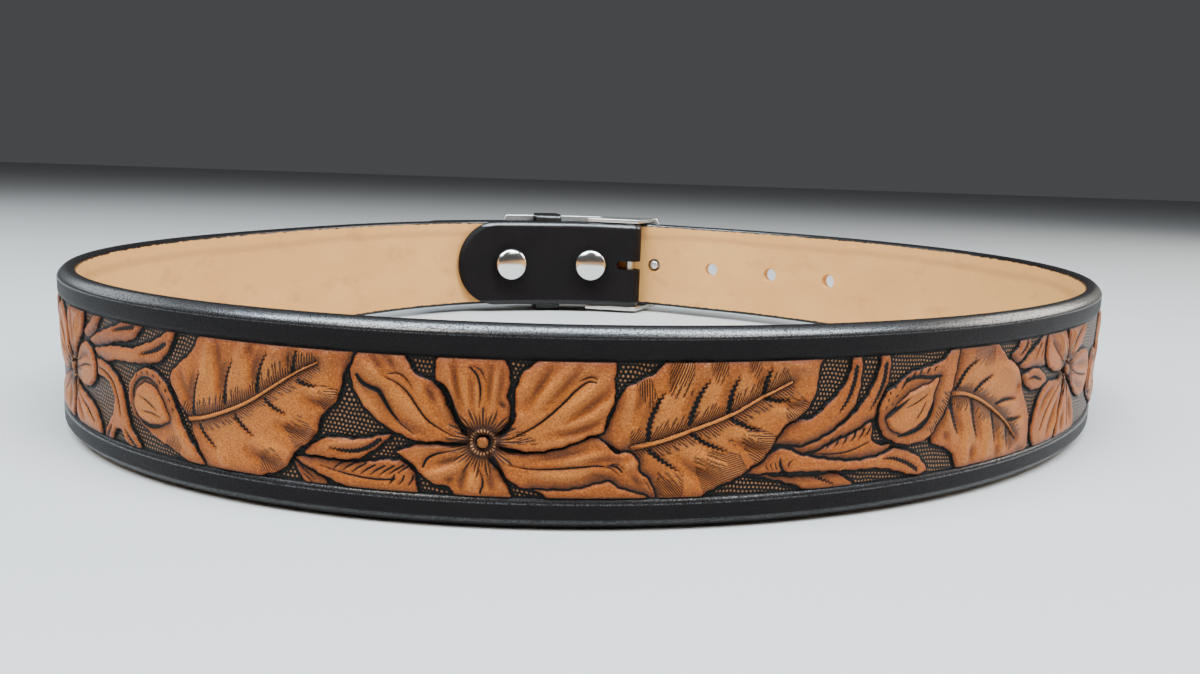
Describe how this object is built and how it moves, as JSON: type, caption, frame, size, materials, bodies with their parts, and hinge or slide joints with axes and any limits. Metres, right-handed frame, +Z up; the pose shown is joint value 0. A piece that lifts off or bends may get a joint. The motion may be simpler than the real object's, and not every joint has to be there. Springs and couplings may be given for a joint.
{
  "type": "western tooled belt",
  "caption": "Leather belt fastened into a loop: carved floral body with dark borders, snapped fold, keeper and plain metal plate buckle.",
  "frame": {"origin": "middle of the belt's footprint, on the surface it stands on", "axes": "+Z up across the strap's width, the front of the loop faces -Y, the buckle is at the back towards +Y"},
  "size_m": [0.2902, 0.3098, 0.0449],
  "materials": {
    "carved_leather": "carved, antiqued and waxed",
    "dyed_leather": "black dyed, burnished, satin",
    "natural_leather": "natural flesh side, matt",
    "nickel": "polished nickel plate"
  },
  "bodies": {
    "root": {"strap": "carved_leather", "keeper": "dyed_leather", "buckle": "nickel", "snap_cap_right": "nickel", "snap_cap_left": "nickel", "snap_post_right": "nickel", "snap_post_left": "nickel"}
  },
  "joints": []
}
